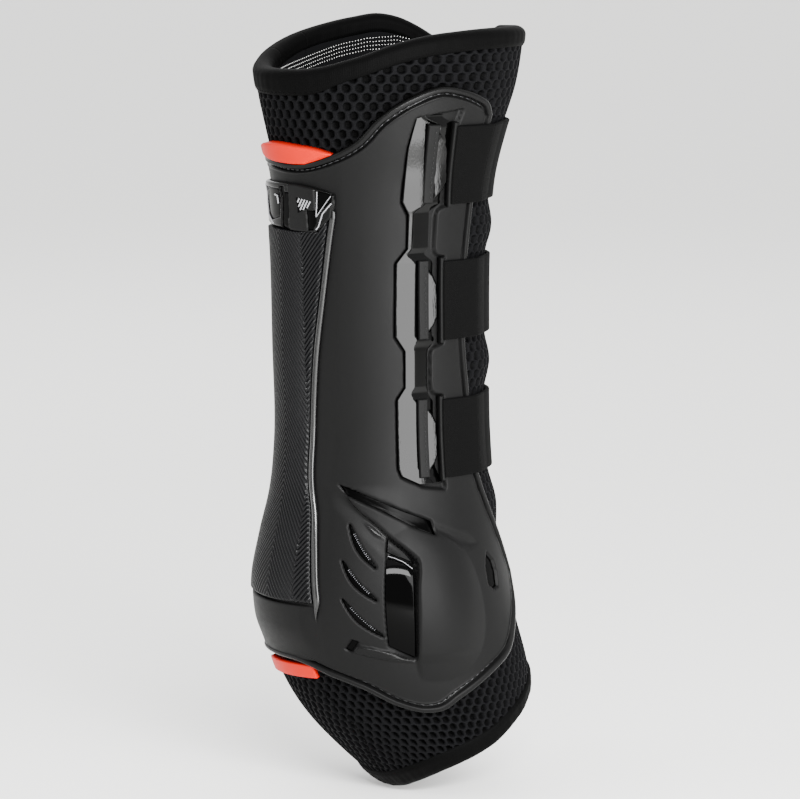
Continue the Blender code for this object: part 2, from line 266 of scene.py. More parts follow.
def smooth_line(points, count=160):
    """A smooth line through (u, z) points, evenly spaced along its length."""
    points = np.asarray(points, float)
    reach = np.concatenate([[0], np.cumsum(np.hypot(*(np.diff(points, axis=0) * (PER_DEGREE, 1)).T))])
    at = np.linspace(0, reach[-1], count)
    i = np.clip(np.searchsorted(reach, at) - 1, 0, len(reach) - 2)
    h = (reach[i + 1] - reach[i])[:, None]
    return hermite(points, np.gradient(points, reach, axis=0), i, (at - reach[i])[:, None] / h, h)


def ease(low, high, x):
    t = np.clip((x - low) / (high - low), 0, 1)
    return t * t * (3 - 2 * t)


rim_line, hem_line = smooth_line(RIM, 300), smooth_line(HEM, 200)
top_line, low_line = smooth_line(SHELL_TOP, 300), smooth_line(SHELL_LOW, 300)
near_front_line, far_front_line = smooth_line(NEAR_FRONT), smooth_line(FAR_FRONT)


def rim(u):
    return np.interp(u, rim_line[:, 0], rim_line[:, 1])


def hem(u):
    return np.interp(np.abs(u), hem_line[:, 0], hem_line[:, 1])


def top_tape(u):
    """Height of the rim's tape, folded over further at the back."""
    return 7.4 + 2.0 * ease(50, 28, np.abs(u - 5))


def shell_top(u):
    return np.interp(u, top_line[:, 0], top_line[:, 1])


def shell_low(u):
    return np.interp(u, low_line[:, 0], low_line[:, 1])


HOLES_HIGH, HOLES_LOW = (4.3, 6.9), (3.4, 6.2)  # repeat of the holes; every other row is shifted by half
HOLE_HALF = (0.3, 0.215)  # half a hole's width and height, in shares of the repeat
HOLE_DEEP = 1.9
MESH_BACK, MESH_FACE = -2.6, -0.1
BULGES, BULGE_HIGH = ((25, 12.5), (-27.5, 12.5), (-82, 15)), 2.0  # middle and half height of each, and its rise


def hole(u, z, pitch):
    """0 on the knitted net, 1 on the floor of a hole."""
    s, near = u * PER_DEGREE, 1e9
    for shift in (0, 0.5):
        x = np.abs((s / pitch[0] + shift + 0.5) % 1 - 0.5)
        y = np.abs((z / pitch[1] + shift + 0.5) % 1 - 0.5)
        x, y = x / HOLE_HALF[0], y / HOLE_HALF[1]
        near = np.minimum(near, np.maximum.reduce([x, y, (x + y) / 1.5]))
    return ease(1.1, 0.86, near)


def bulge(u, z):
    """The padding swells out between the straps, down the front."""
    gaps = sum(np.cos(np.clip((z - middle) / half, -1, 1) * math.pi / 2) ** 2 for middle, half in BULGES)
    return BULGE_HIGH * gaps * ease(120, 138, np.abs(u))


# Dull knitted polyester: no gloss, near black on the net and blacker on the floors of its holes, partly its dark
# ground and partly painted shade
net, net_tree, net_shader = surface("polyester_spacer_mesh", "#050506", 0.7, Specular_IOR_Level=0.03)
net_place = add(net_tree, "ShaderNodeAttribute", attribute_name="flat")
# Filaments of about 0.15 mm, drawn at 0.45 mm so that they show
net_thread = add(
    net_tree, "ShaderNodeTexNoise", {"Vector": (net_place, "Vector")}, {"Scale": 2.2, "Detail": 2.0, "Roughness": 0.7}
)
net_floor = add(net_tree, "ShaderNodeAttribute", attribute_name="deep")
# Painted shade mixed with the dark ground: the floors of the holes are made blacker than the net
net_shade = add(net_tree, "ShaderNodeMix", {"Factor": (net_floor, "Fac")}, data_type="RGBA")
net_shade.inputs["A"].default_value = linear("#070708")
net_shade.inputs["B"].default_value = linear("#010101")
net_tree.links.new(net_shade.outputs["Result"], net_shader.inputs["Base Color"])
bump(net_tree, net_shader, (net_thread, "Fac"), 0.25, 0.7)


def mark(obj, name, values):
    """Keeps a value for each point of a slab's outer face, for its material; the rest is 0."""
    kept = np.zeros(len(obj.data.vertices), np.float32)
    kept[: values.size] = values.ravel()
    obj.data.attributes.new(name, "FLOAT", "POINT").data.foreach_set("value", kept)


def grid_faces(columns, rows):
    at = np.arange(columns * rows).reshape(columns, rows)
    return np.stack([at[:-1, :-1], at[1:, :-1], at[1:, 1:], at[:-1, 1:]], -1).reshape(-1, 4)


def slab(name, u, z, inner, outer, finish):
    """A closed piece between two offsets of the body, over a (u, z) grid."""
    u, z = np.broadcast_arrays(u, z)
    columns, rows = u.shape
    count = columns * rows
    points = np.concatenate([on_body(u, z, outer).reshape(-1, 3), on_body(u, z, inner).reshape(-1, 3)])
    face = grid_faces(columns, rows)
    at = np.arange(count).reshape(columns, rows)
    edge = np.concatenate([at[:, 0], at[-1, 1:], at[-2::-1, -1], at[0, -2:0:-1]])
    after = np.roll(edge, -1)
    wall = np.stack([edge, edge + count, after + count, after], -1)
    faces = np.concatenate([face, face[:, ::-1] + count, wall])
    flat = np.stack([u * PER_DEGREE, z, 0 * u], -1).reshape(-1, 3)
    return new_object(name, points, faces, finish, np.concatenate([flat, flat]))


def settle(obj, body, nodes=None):
    """Hides the CAD nodes that the piece stands for and, unless it bends, hangs it on the body it rides."""
    if nodes is not None:
        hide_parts(*nodes)
    if body:
        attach(obj, body)
    return obj


def knitted(name, u, z, body, nodes=(), pitch=HOLES_HIGH):
    """A stretch of the spacer mesh with real holes."""
    deep = hole(u, z, pitch)
    obj = slab(name, u, z, MESH_BACK, bulge(u, z) + MESH_FACE - HOLE_DEEP * deep, net)
    mark(obj, "deep", deep)
    return settle(obj, body, nodes)


FOLD_TURN_Z, FOLD_LEAN = -112, 0.27


def bend_at_fold(obj):
    """Bakes the piece's placement into its mesh, for a piece that rides neither half."""
    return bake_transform(obj)


MESH_STEP, LINING_STEP = 0.42, 1.2


def columns(first, last, step=MESH_STEP):
    return np.linspace(first, last, max(3, round(abs(last - first) * PER_DEGREE / step) + 1))


def between(u, low, high, step=MESH_STEP):
    """A (u, z) grid over columns u, from the heights low(u) to high(u)."""
    bottom, top = low(u)[:, None], high(u)[:, None]
    rows = max(3, round(float(np.max(top - bottom)) / step) + 1)
    return np.broadcast_arrays(u[:, None], bottom + (top - bottom) * np.linspace(0, 1, rows)[None])


TUCK = 3.0  # how far the mesh runs on under the shell
UNDER_CUP = -108  # where the low mesh meets the front mesh


def seam_top(u):
    return rim(u) - top_tape(u) + 1


def seam_low(u):
    return hem(u) + LOW_TAPE - 1


def under_top(u):
    return shell_top(u) - TUCK


def under_low(u):
    return np.where(np.abs(u) > 150, UNDER_CUP, shell_low(np.clip(u, -163, 152)) + TUCK)


for side, first, last, body in (("inner", SPINE[1], 122, "inner_half"), ("outer", -122, SPINE[0], "outer_half")):
    cad = "near_mesh" if side == "inner" else "far_mesh"
    knitted(f"{side}_mesh_top", *between(columns(first, last), under_top, seam_top), body, (cad,))
bend_at_fold(knitted("spine_mesh_top", *between(columns(*SPINE), under_top, seam_top), None))
for name, ends, body in (
    ("inner_mesh_low", (SPINE[1], INNER_LINER_END), "inner_half"),
    ("outer_mesh_low", (OUTER_LINER_END, SPINE[0]), "outer_half"),
    ("spine_mesh_low", SPINE, None),
):
    piece = knitted(name, *between(columns(*ends), seam_low, under_low), body, (), HOLES_LOW)
    if not body:
        bend_at_fold(piece)


def front_mesh(name, edge, edge_top, front, body):
    """The mesh down the front, from under the shell's front edge to the front tape."""
    z = np.linspace(UNDER_CUP, float(seam_top(front)), 480)
    order = np.argsort(edge[:, 1])
    tuck = np.sign(front) * 4
    start = np.where(z > edge_top, np.sign(front) * 122, np.interp(z, edge[order, 1], edge[order, 0]) - tuck)
    t = np.linspace(0, 1, 120)[:, None]
    u = start + (front - start) * t
    z = z + 0 * u
    if front < 0:
        u, z = u[::-1], z[::-1]
    knitted(name, u, z, body)


front_mesh("inner_mesh_front", near_front_line, 66, INNER_LINER_END, "inner_half")
front_mesh("outer_mesh_front", far_front_line, 60, OUTER_LINER_END, "outer_half")

# ---------------------------------------------------------------- padded liner: foam and lining
# Inside the mesh lies 4 mm foam faced with a smooth knitted lining that meets the leg. Rows of white dotted thread
# are worked into the lining just below the rim.

# Smooth polyester knit: dull and nearly black, with fine upright ribs
lining, lining_tree, lining_shader = surface("knitted_lining", "#070708", 0.9, Specular_IOR_Level=0.05)
lining_place = add(lining_tree, "ShaderNodeAttribute", attribute_name="flat")
# Knit ribs of about 0.4 mm, drawn at 0.8 mm so that they show
lining_rib = add(
    lining_tree, "ShaderNodeTexWave", {"Vector": (lining_place, "Vector")}, {"Scale": 0.39, "Distortion": 0.6}
)
bump(lining_tree, lining_shader, (lining_rib, "Fac"), 0.12, 0.5)


def lining_low(u):
    return hem(u) + LOW_TAPE - 1.5


def lining_high(u):
    return rim(u) - top_tape(u) + 1.5


def fold_turn(u):
    return FOLD_TURN_Z + 0 * u


FOAM_IN, FOAM_OUT, FOAM_SWELL = -7.0, -2.7, 0.14


def foam(name, ends, low, high, body, nodes=()):
    """Foam and lining over the angles `ends`, a little uneven on the leg's side."""
    u, z = between(columns(*ends, LINING_STEP), low, high, LINING_STEP)
    obj = slab(name, u, z, FOAM_IN + FOAM_SWELL * np.sin(z / 9.0) * np.sin(u / 13.0), FOAM_OUT, lining)
    return settle(obj, body, nodes)


foam("inner_foam", (SPINE[1], INNER_LINER_END), lining_low, lining_high, "inner_half", ("near_lining",))
foam("outer_foam", (OUTER_LINER_END, SPINE[0]), lining_low, lining_high, "outer_half", ("far_lining",))
bend_at_fold(foam("spine_foam_high", SPINE, fold_turn, lining_high, None))
bend_at_fold(foam("spine_foam_low", SPINE, lining_low, fold_turn, None))


def beads(name, u, z, out, way, size, finish, body):
    """Short round-ended threads lying on the body at (u, z), each turned to its way along the surface."""
    around, along = 8, 5
    ring = np.linspace(0, 2 * math.pi, around, endpoint=False)
    lift = np.linspace(0.25, math.pi - 0.25, along)
    shape = [(-math.cos(b), math.sin(b) * math.cos(a), math.sin(b) * math.sin(a)) for b in lift for a in ring]
    shape = np.array(shape) * (size[0] / 2, size[1] / 2, size[1] / 2)
    at = np.arange(along * around).reshape(along, around)
    after = np.roll(at, -1, 1)
    sides = np.stack([at[:-1], after[:-1], after[1:], at[1:]], -1).reshape(-1, 4)
    cap = np.array([(3, 2, 1, 0), (7, 4, 3, 0), (6, 5, 4, 7)])
    quads = np.concatenate([sides, cap, cap[:, ::-1] + at[-1, 0]])
    place = on_body(u, z, out)
    x = on_body(u + way[0], z + way[1], out) - place
    x /= np.linalg.norm(x, axis=-1, keepdims=True)
    n = on_body(u, z, out + 1.0) - place
    y = np.cross(n, x)
    points = place[:, None] + sum(shape[None, :, [k]] * axis[:, None] for k, axis in enumerate((x, y, n)))
    faces = (quads[None] + (np.arange(len(place)) * len(shape))[:, None, None]).reshape(-1, 4)
    obj = new_object(name, points.reshape(-1, 3), faces, finish, points.reshape(-1, 3))
    return settle(obj, body)


# Spun polyester, undyed: soft white dashes on the black knit
white_thread, _, _ = surface("white_polyester_thread", "#c9c9c6", 0.6)
DOT_ROWS, DOT_GAP, DOT_PITCH = 4, 1.5, 1.0
DOT_OUT, DOT_SIZE = -7.15, (0.45, 0.36)
DOT_LINE = (
    (-172, -130, -114, -100, -86, -70, -61, -50, -40, -20, 0, 30, 50, 89, 186),
    (84, 91.5, 94.5, 93.8, 91.5, 88, 86.2, 84.5, 83.2, 80.2, 76, 77.5, 80.5, 90, 92),
)
for side, first, last, body in (
    ("inner", SPINE[1], 176, "inner_half"),
    ("spine", *SPINE, None),
    ("outer", -157, SPINE[0], "outer_half"),
):
    dot_u = np.arange(-180, 190) * DOT_PITCH / PER_DEGREE
    dot_u = dot_u[(dot_u >= first) & (dot_u < last)]
    all_u = np.tile(dot_u, DOT_ROWS)
    dot_z = np.interp(all_u, *DOT_LINE) - np.repeat(DOT_GAP * np.arange(DOT_ROWS), len(dot_u))
    slope = np.interp(all_u + 1, *DOT_LINE) - np.interp(all_u, *DOT_LINE)
    flat_on = 0 * all_u
    dots = beads(f"{side}_lining_dots", all_u, dot_z, flat_on + DOT_OUT, (flat_on + 1, slope), DOT_SIZE,
                 white_thread, body)
    if not body:
        bend_at_fold(dots)

# ---------------------------------------------------------------- edge tapes
# A stretch tape of smooth knitted nylon is folded over the liner's raw edge all round and stitched down, so the rim
# and the hem are soft rolled edges. The front edges of the two halves are bound in the same way.

# Smooth knitted nylon: the deepest black here, with a faint light along its roll
tape, tape_tree, tape_shader = surface("nylon_binding_tape", "#030303", 0.65, Specular_IOR_Level=0.02)
tape_place = add(tape_tree, "ShaderNodeAttribute", attribute_name="flat")
# Cross ribs of 0.3 mm, drawn at 0.7 mm so that they show
tape_rib = add(
    tape_tree, "ShaderNodeTexWave", {"Vector": (tape_place, "Vector")}, {"Scale": 0.45, "Distortion": 0.3}
)
bump(tape_tree, tape_shader, (tape_rib, "Fac"), 0.06, 0.5)
TAPE_OUT, TAPE_IN = 0.75, -7.5
ROLL_RISE = 3.4  # the fold's rounded edge
INNER_TAPE = 7.4  # height of the tape on the leg's side


def quarter(d, r):
    """Height lost by an edge of radius r, at d mm in from the edge."""
    d = np.clip(d, 0, r)
    return np.sqrt(np.maximum(r * r - (r - d) ** 2, 0)) - r


def spread(length, step, band=1.5, fine=0.25):
    """Shares from 0 to 1: `fine` mm apart within `band` mm of both ends and `step` mm apart between."""
    ends = np.arange(0, band, fine)
    middle = np.linspace(band, length - band, max(2, round((length - 2 * band) / step) + 1))
    return np.concatenate([ends, middle, (length - ends)[::-1]]) / length


def rolled(name, u, edge, height, way, body, nodes=()):
    """Tape folded over an edge line: way +1 for the rim, -1 for the hem."""
    arc = np.linspace(0, math.pi, 19)
    middle, half = (TAPE_OUT + TAPE_IN) / 2, (TAPE_OUT - TAPE_IN) / 2
    share = np.linspace(0, 1, 9)
    tuck = 0.55 * ease(0.35, 0, share)
    out = np.concatenate([[0], half - tuck, half * np.cos(arc[1:-1]), tuck[::-1] - half, [0]])
    height = np.broadcast_to(height, u.shape)[:, None]
    side_rise = -height + (height - 3.6) * share
    top = np.broadcast_to(-ROLL_RISE + ROLL_RISE * np.sin(arc[1:-1]), (len(u), len(arc) - 2))
    inner_rise = -INNER_TAPE + 3.8 * share[::-1] + 0 * height
    lift = np.concatenate([-height, side_rise, top, inner_rise, -height], 1)
    ripple = 0.08 * np.sin(u / 2.3) + 0.05 * np.sin(u / 0.9 + 1.0)
    outs = middle + out + ripple[:, None] * np.sin(np.clip(-lift / height, 0, 1) * math.pi) * np.sign(out)
    z = edge[:, None] + way * lift
    points = on_body(u[:, None], z, outs)
    count, ring = points.shape[:2]
    faces = grid_faces(count, ring)
    if way < 0:
        faces = faces[:, ::-1]
    caps = []
    for row, turn_round in ((0, False), (count - 1, True)):
        at = row * ring + np.arange(ring)
        half_ring = ring // 2
        for k in range(half_ring - 1):
            quad = [at[k], at[k + 1], at[ring - 2 - k], at[ring - 1 - k]]
            caps.append(quad[::-1] if turn_round == (way > 0) else quad)
    faces = np.concatenate([faces, np.array(caps)])
    reach = np.concatenate([[0], np.cumsum(np.hypot(np.diff(out), np.diff(lift[0])))])
    flat = np.stack(np.broadcast_arrays(u[:, None] * PER_DEGREE, reach[None], 0.0), -1)
    obj = new_object(name, points.reshape(-1, 3), faces, tape, flat.reshape(-1, 3))
    return settle(obj, body, nodes)


for side, first, last, body, cad in (
    ("inner", SPINE[1], NEAR_FRONT_U, "inner_half", "near"),
    ("outer", FAR_FRONT_U, SPINE[0], "outer_half", "far"),
):
    u = columns(first, last, 0.6)
    rolled(f"{side}_rim_tape", u, rim(u), top_tape(u), 1, body, (f"{cad}_top_binding",))
    rolled(f"{side}_hem_tape", u, hem(u), LOW_TAPE, -1, body, (f"{cad}_bottom_binding",))
    front = last - FRONT_TAPE if side == "inner" else first
    across = FRONT_TAPE * spread(FRONT_TAPE * PER_DEGREE, 0.5, 1.4)[:, None]
    front_u = front + across
    low, high = hem(front_u) + 3, rim(front_u) - 3
    z = low + (high - low) * np.linspace(0, 1, 300)[None]
    roll = 1.5 * quarter(np.minimum(across, FRONT_TAPE - across) * PER_DEGREE, 2.0)
    inside_out = TAPE_IN + 0.2 - roll, TAPE_OUT - 0.2 + roll + bulge(front_u, z)
    edge = slab(f"{side}_front_tape", front_u, z, *inside_out, tape)
    settle(edge, body, (f"{cad}_front_binding",))
u = columns(*SPINE, 0.6)
bend_at_fold(rolled("spine_rim_tape", u, rim(u), top_tape(u), 1, None))
bend_at_fold(rolled("spine_hem_tape", u, hem(u), LOW_TAPE, -1, None))

# ---------------------------------------------------------------- moulded shell
# One moulding of thermoplastic polyurethane with a fine matte grain. Its edge is a raised rim with a stitched groove
# inside it. Over the fetlock it swells into a cup, cut by a scoop, three vent slits and a polished window.
SHELL_IN, SHELL_OUT = 0.1, 2.3
RIM_WIDE, RIM_HIGH = 2.2, 0.5
GROOVE_WIDE, GROOVE_DEEP, LIP_HIGH = 1.2, 1.5, 0.22
# Polyurethane from a finely sparked mould: a soft dull black that shades with the light
shell_finish, shell_tree, shell_shader = surface("matte_tpu", "#080808", 0.5, Specular_IOR_Level=0.07)
shell_grain = add(shell_tree, "ShaderNodeTexNoise", inputs={"Scale": 2600.0, "Detail": 2.0})
bump(shell_tree, shell_shader, (shell_grain, "Fac"), 0.03, 0.35)
shell_cloud = add(shell_tree, "ShaderNodeTexNoise", inputs={"Scale": 14.0, "Detail": 2.0})
shell_gloss = add(
    shell_tree, "ShaderNodeMapRange", {"Value": (shell_cloud, "Fac")}, {"To Min": 0.42, "To Max": 0.56}
)
# The mould is polished in the grooves and on the lips, so they catch thin bright lines
shell_polish = add(shell_tree, "ShaderNodeAttribute", attribute_name="polish")
shell_smooth = add(
    shell_tree, "ShaderNodeMix", {"Factor": (shell_polish, "Fac"), "A": (shell_gloss, "Result")}, {"B": 0.16}
)
shell_tree.links.new(shell_smooth.outputs["Result"], shell_shader.inputs["Roughness"])
SLITS = [((50, -85), (63.5, -101)), ((47.5, -98.5), (63.5, -113)), ((48, -112.5), (64.5, -126.5))]
SLIT_HALF = 1.0
WINDOW_LEFT = [(66, -130), (67, -117), (68, -103), (69, -94.5)]
WINDOW_RIGHT = [(76.5, -134.5), (78.0, -128), (80.0, -112), (81.0, -99.0)]
FOLD_EDGE = [
    (43.5, -70.5), (48, -75), (54.5, -80), (62.5, -84.5), (70.5, -90), (77.5, -94.7), (82, -98.8), (82, -102),
    (80.8, -107.5), (79.5, -117.5), (78, -128), (76.5, -136),
]
SCOOP = [
    (43, -70.2), (52.5, -72.3), (62.5, -75.3), (77.5, -80), (89.5, -83.5), (92.5, -84.5), (93.5, -90.0),
    (86.5, -87.7), (75.5, -83.2), (66.5, -79.7), (57.5, -77), (48, -74),
]
SOFT_SCOOP = [(91, -84.1), (103.5, -88), (114, -91), (120, -95), (113, -97), (106, -96), (99.5, -92.5), (92, -89.4)]
CUP_MIDDLE, CUP_REACH = (86, -115), (29.5, 29.5)  # (u, z); degrees and mm
RIDGE = [(49.5, -132), (52.5, -129.5), (60, -130.6), (68, -132.6), (76.5, -136.4), (66, -135.4), (57, -133.8)]
NOTCH = [(46.5, -131.5), (50.5, -127.8), (53, -128.4), (52, -129.3), (49, -132.2)]
LENS = [(56.5, -83.5), (64.5, -87), (70.5, -91.5), (63, -89.2)]
SHADE = [(68.8, -95), (69.5, -90), (77.5, -95.2), (82, -99.6)]
TEAR = [(124, -99), (128.5, -102.5), (130, -107), (129, -112.5), (125, -113), (121.5, -110.5), (121.8, -104)]
WINDOW = WINDOW_LEFT + WINDOW_RIGHT[::-1]
HOLLOW_DEEP, SOFT_DEEP, CUP_HIGH = 1.9, 1.2, 3.4
PLATE_SEAT = 2.0  # depth of the seat for the strap plate, whose outline follows
PLATE_LEFT = [
    (90, -71), (78, -67), (76.3, -64), (76.3, -38), (81, -33.5), (81, -19.5), (75.6, -14), (76.2, 13.5),
    (82.6, 19), (82.6, 32), (79, 37), (81, 57), (84, 68),
]
PLATE_RIGHT = [
    (102, -72.5), (102, -66), (102.6, -37.6), (98, -36.8), (95.8, -35.4), (95, -33.2), (95, -21.2), (95.8, -19.2),
    (98.4, -17.9), (102.6, -17.2), (103.4, 15), (99.5, 15.7), (97.8, 16.9), (97.2, 18.8), (97.5, 31), (98.4, 33.2),
    (100.4, 34.5), (104.2, 35.2), (103.6, 66), (105, 71),
]


def at_share(line, share):
    """Points at the shares of a line's length."""
    reach = np.concatenate([[0], np.cumsum(np.hypot(*(np.diff(line, axis=0) * (PER_DEGREE, 1)).T))])
    return np.stack([np.interp(share * reach[-1], reach, line[:, k]) for k in (0, 1)], -1)


def away_from(line, u, z):
    """Distance in mm from each (u, z) to a line."""
    s, found = u * PER_DEGREE, np.full(np.broadcast(u, z).shape, 1e9)
    flat = np.asarray(line, float) * (PER_DEGREE, 1)
    for (x0, y0), (x1, y1) in zip(flat[:-1], flat[1:]):
        dx, dy = x1 - x0, y1 - y0
        t = np.clip(((s - x0) * dx + (z - y0) * dy) / max(dx * dx + dy * dy, 1e-9), 0, 1)
        found = np.minimum(found, np.hypot(s - x0 - t * dx, z - y0 - t * dy))
    return found


def inside(outline, u, z):
    """True where (u, z) lies inside a closed outline."""
    odd = np.zeros(np.broadcast(u, z).shape, bool)
    for (u0, z0), (u1, z1) in zip(outline, np.roll(outline, -1, axis=0)):
        if z0 != z1:
            odd ^= ((z0 > z) != (z1 > z)) & (u < (u1 - u0) * (z - z0) / (z1 - z0) + u0)
    return odd


def depth_in(outline, u, z):
    """Distance in mm to a closed outline, positive inside it."""
    outline = np.asarray(outline, float)
    away = away_from(np.vstack([outline, outline[:1]]), u, z)
    return np.where(inside(outline, u, z), away, -away)


def filled(low, high, left, right, s, t):
    """(u, z) grid inside four edge lines, at the shares s along and t up."""
    bottom, top = at_share(low, s)[:, None], at_share(high, s)[:, None]
    first, last = at_share(left, t)[None], at_share(right, t)[None]
    s, t = s[:, None, None], t[None, :, None]
    corners = (1 - s) * ((1 - t) * bottom[:1] + t * top[:1]) + s * ((1 - t) * bottom[-1:] + t * top[-1:])
    grid = (1 - t) * bottom + t * top + (1 - s) * first + s * last - corners
    return grid[..., 0], grid[..., 1]


def moved(line, by):
    """A line moved sideways by mm, to its left for a positive number."""
    flat = line * (PER_DEGREE, 1)
    way = np.gradient(flat, axis=0)
    way /= np.linalg.norm(way, axis=1, keepdims=True)
    return (flat + np.stack([-way[:, 1], way[:, 0]], -1) * by) / (PER_DEGREE, 1)


outline = np.vstack([top_line, near_front_line[::-1][1:], low_line[::-1][1:], far_front_line[1:]])


def across_fold(u, z):
    """Distance in mm past the fold that bounds the fetlock cup, and 1 where the fold runs."""
    fold = smooth_line(FOLD_EDGE, 60)
    fold_u = np.interp(z, fold[::-1, 1], fold[::-1, 0])
    return (u - fold_u) * PER_DEGREE, ease(-137, -133, z) * ease(-69.5, -76, z)


def shell_swell(u, z):
    """Height of the smooth swellings of the shell's face: a soft crease, the fold and the fetlock cup."""
    across, tall = across_fold(u, z)
    hollow = ease(-10.0, -1.0, across) * ease(0.6, 0.0, across)
    lift = ease(0.0, 0.8, across) * ease(26, 6, across)
    r = ((u - CUP_MIDDLE[0]) / CUP_REACH[0]) ** 2 + ((z - CUP_MIDDLE[1]) / CUP_REACH[1]) ** 2
    cup = CUP_HIGH * np.clip(1 - r, 0, 1) * ease(0, 0.8, across)
    return 0.3 * ease(38, 46, u - 0.06 * z) + tall * (0.9 * lift - 1.1 * hollow) + cup


def slit_outline(start, end):
    """A pointed lens bowed downwards between two (u, z) ends."""
    start, end = np.array(start, float), np.array(end, float)
    spine = smooth_line(np.array([start, (start + end) / 2 + (-1.0, -1.0), end]), 24)
    wide = SLIT_HALF * np.sin(np.linspace(0.08, math.pi - 0.08, 24)) ** 0.7
    return np.vstack([moved(spine, wide[:, None]), moved(spine, -wide[:, None])[::-1]])


def shell_relief(u, z):
    """Height of the shell's face above its plain surface, and how far it is polished."""
    edge = away_from(outline, u, z)
    groove_end = RIM_WIDE + GROOVE_WIDE
    groove = ease(RIM_WIDE - 0.1, RIM_WIDE + 0.2, edge) * ease(groove_end + 0.15, groove_end - 0.15, edge)
    lip = ease(0.45, 0, np.abs(edge - groove_end - 0.4))
    height = RIM_HIGH * ease(RIM_WIDE, RIM_WIDE - 0.4, edge) - GROOVE_DEEP * groove + LIP_HIGH * lip
    height = height + quarter(edge, 1.0)
    polish = np.maximum.reduce([groove, 0.8 * lip, 0.8 * ease(1.1, 0.7, edge)])
    if not (u > 0).any():
        return height, polish
    across, tall = across_fold(u, z)
    height = height + shell_swell(u, z)
    polish = np.maximum(polish, tall * ease(-1.4, -0.5, across) * ease(0.9, 0.2, across))
    for shape, rise in ((LENS, 0.5), (RIDGE, 1.1)):
        raised = ease(-0.2, 0.4, depth_in(shape, u, z))
        height, polish = height + rise * raised, np.maximum(polish, raised)
    height = height - SOFT_DEEP * ease(-0.2, 3.0, depth_in(SOFT_SCOOP, u, z))
    for shape in HOLLOWS:
        height = height - HOLLOW_DEEP * ease(-0.3, 0.1, depth_in(shape, u, z))
    plate = depth_in(np.vstack([PLATE_LEFT, PLATE_RIGHT[::-1]]), u, z)
    height = height - PLATE_SEAT * ease(-0.8, -0.3, plate)
    return np.maximum(height, SHELL_IN - SHELL_OUT + 0.15), polish


HOLLOWS = [SCOOP, SHADE, TEAR, NOTCH, WINDOW] + [slit_outline(*slit) for slit in SLITS]
SHELL_STEP, EDGE_BAND, EDGE_STEP = 0.55, 4.8, 0.3


def shell_piece(name, low, high, left, right_edge, size, body=None, nodes=()):
    """A part of the shell between four edge lines; size is its width and height in mm."""
    s, t = (spread(length, SHELL_STEP, EDGE_BAND, EDGE_STEP) for length in size)
    u, z = filled(low, high, left, right_edge, s, t)
    relief, polish = shell_relief(u, z)
    obj = slab(name, u, z, SHELL_IN, SHELL_OUT + relief, shell_finish)
    mark(obj, "polish", polish)
    return settle(obj, body, nodes)


def stretch(line, first, last):
    """The part of a line between two angles u."""
    u = np.linspace(first, last, 240)
    return np.stack([u, np.interp(u, line[:, 0], line[:, 1])], -1)


def side_edge(low, high, end):
    return np.array([low[end], high[end]])


low, high = stretch(low_line, SPINE[1], 153), stretch(top_line, SPINE[1], 124.5)
shell_piece("inner_shell", low, high, side_edge(low, high, 0), near_front_line, (136, 205), "inner_half",
            ("near_shell",))
low, high = stretch(low_line, -164, SPINE[0]), stretch(top_line, -124, SPINE[0])
shell_piece("outer_shell", low, high, far_front_line, side_edge(low, high, -1), (62, 205), "outer_half",
            ("far_shell",))
turn_line = np.array([(SPINE[0], FOLD_TURN_Z), (SPINE[1], FOLD_TURN_Z)], float)
for name, low, high, tall in (
    ("spine_shell_high", turn_line, stretch(top_line, *SPINE), 175),
    ("spine_shell_low", stretch(low_line, *SPINE), turn_line, 34),
):
    piece = shell_piece(name, low, high, side_edge(low, high, 0), side_edge(low, high, -1), (17, tall))
    bend_at_fold(piece)

# The groove's seam has stitches 2.6 mm apart. Bonded nylon has a slight shine that picks out each one
black_thread, _, _ = surface("black_nylon_thread", "#1c1c1e", 0.35, Specular_IOR_Level=0.4)
STITCH, STITCH_GAP = (1.9, 0.5), 0.75
SEAM_OUT = SHELL_OUT - 1.2


def seam(name, line, out, body, finish, size=STITCH, gap=STITCH_GAP):
    """A row of stitches along a (u, z) line."""
    length = float(np.sum(np.hypot(*(np.diff(line, axis=0) * (PER_DEGREE, 1)).T)))
    share = (np.arange(int(length / (size[0] + gap))) + 0.5) * (size[0] + gap) / length
    at, ahead = at_share(line, share), at_share(line, np.clip(share + 0.3 / length, 0, 1))
    way = ahead - at
    return beads(name, at[:, 0], at[:, 1], out + 0 * share, (way[:, 0], way[:, 1]), size, finish, body)


for name, line, way, body in (
    ("inner_top_seam", stretch(top_line, SPINE[1] + 1, 121), -1, "inner_half"),
    ("inner_low_seam", stretch(low_line, SPINE[1] + 1, 150), 1, "inner_half"),
    ("outer_top_seam", stretch(top_line, -120, SPINE[0] - 1), -1, "outer_half"),
    ("outer_low_seam", stretch(low_line, -160, SPINE[0] - 1), 1, "outer_half"),
    ("inner_front_seam", near_front_line[6:-4], 1, "inner_half"),
    ("outer_front_seam", far_front_line[6:-4], -1, "outer_half"),
):
    seam(name, moved(line, way * (RIM_WIDE + GROOVE_WIDE / 2)), SEAM_OUT, body, black_thread)

# The tapes are stitched with thread of their own colour, and so is a dart in the mesh below the fetlock
TAPE_STITCH, TAPE_SEAM_OUT = (1.6, 0.4), 0.45
for side, first, last, body in (
    ("inner", SPINE[1] + 1, 180, "inner_half"),
    ("outer", -166, SPINE[0] - 1, "outer_half"),
):
    u = np.linspace(first, last, 300)
    for edge, z in (("rim", seam_top(u)), ("hem", seam_low(u))):
        seam(f"{side}_{edge}_seam", np.stack([u, z], -1), TAPE_SEAM_OUT, body, tape, TAPE_STITCH)
dart = smooth_line([(25, -150), (31, -158), (34, -168), (28, -177), (20, -186)], 60)
seam("dart_seam", dart, 0.1, "inner_half", tape, (1.6, 0.7), 0.3)

# Painted shade: a pure black sheet with almost no shine lies deep behind the slits and in the hollows, so that they
# read as plain black
shade_sheet_finish, _, _ = surface("painted_shade_sheet", "#000000", 0.25, Specular_IOR_Level=0.03)
